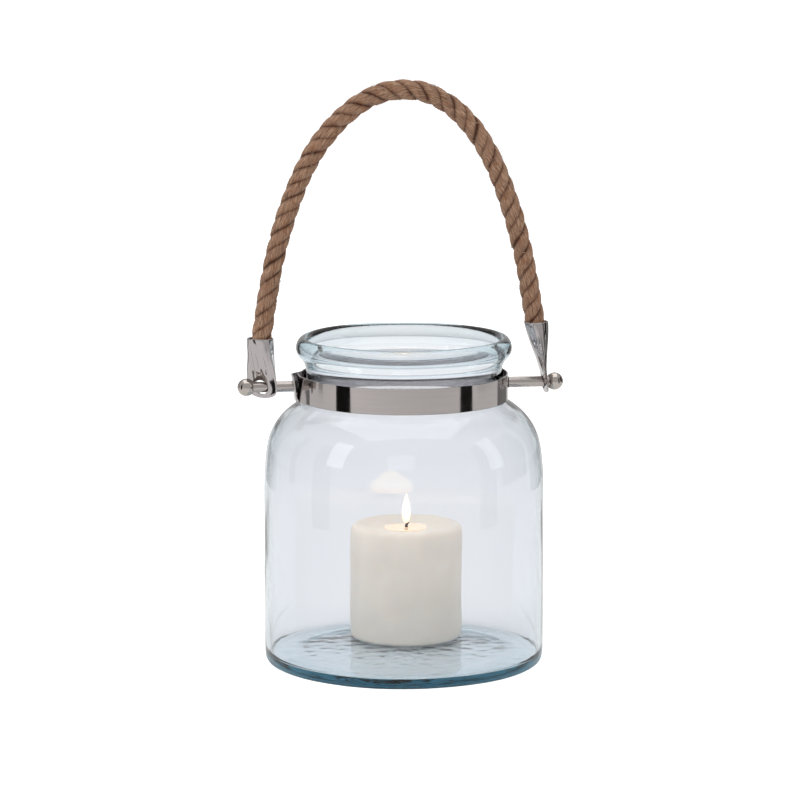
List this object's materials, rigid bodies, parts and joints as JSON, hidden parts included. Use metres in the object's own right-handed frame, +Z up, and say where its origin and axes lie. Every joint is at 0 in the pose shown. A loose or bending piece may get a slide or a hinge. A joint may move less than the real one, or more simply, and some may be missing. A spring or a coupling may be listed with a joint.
{
  "type": "jar lantern",
  "caption": "Clear blown-glass jar lantern with a steel neck band, side rods, a swinging twisted-rope carrying handle and a pillar candle inside.",
  "frame": {"origin": "on the jar's axis, at the underside of its base", "axes": "+Z up along the jar's axis; X along the two rods that carry the handle; +Y towards the side where the candle stands"},
  "size_m": [0.2031, 0.174, 0.3621],
  "materials": {
    "blown_glass": "clear",
    "strap_steel": "satin polished",
    "polished_steel": "polished",
    "dark_fibre": "matte",
    "jute_rope": "twisted natural fibre",
    "candle_wax": "waxy",
    "cotton_wick": "charred",
    "tin_plate": "satin",
    "candle_flame": "glowing"
  },
  "bodies": {
    "jar": {"glass_jar": "blown_glass"},
    "band": {"neck_band": "strap_steel", "right_washer": "dark_fibre", "left_lap_spacer": "dark_fibre", "right_pivot_rod": "polished_steel", "left_pivot_rod": "polished_steel", "right_ball_end": "polished_steel", "left_ball_end": "polished_steel", "right_rod_screw": "polished_steel", "left_rod_screw": "polished_steel"},
    "handle": {"right_rope_ferrule": "polished_steel", "left_rope_ferrule": "polished_steel", "rope_handle": "jute_rope"},
    "candle": {"pillar_candle": "candle_wax", "wick_sustainer": "tin_plate", "candle_wick": "cotton_wick"}
  },
  "joints": [
    {"name": "band_turn", "type": "hinge", "parent": "jar", "child": "band", "pos_m": [0, 0, 0.173], "axis": [0, 0, 1], "continuous": true},
    {"name": "handle_swing", "type": "hinge", "parent": "band", "child": "handle", "pos_m": [0, 0, 0.1739], "axis": [1, 0, 0], "range_deg": [-124, 124]},
    {"name": "candle_lift", "type": "slide", "parent": "jar", "child": "candle", "axis": [-0.0336, -0.1932, 0.9806], "range_m": [0, 0.204]}
  ]
}
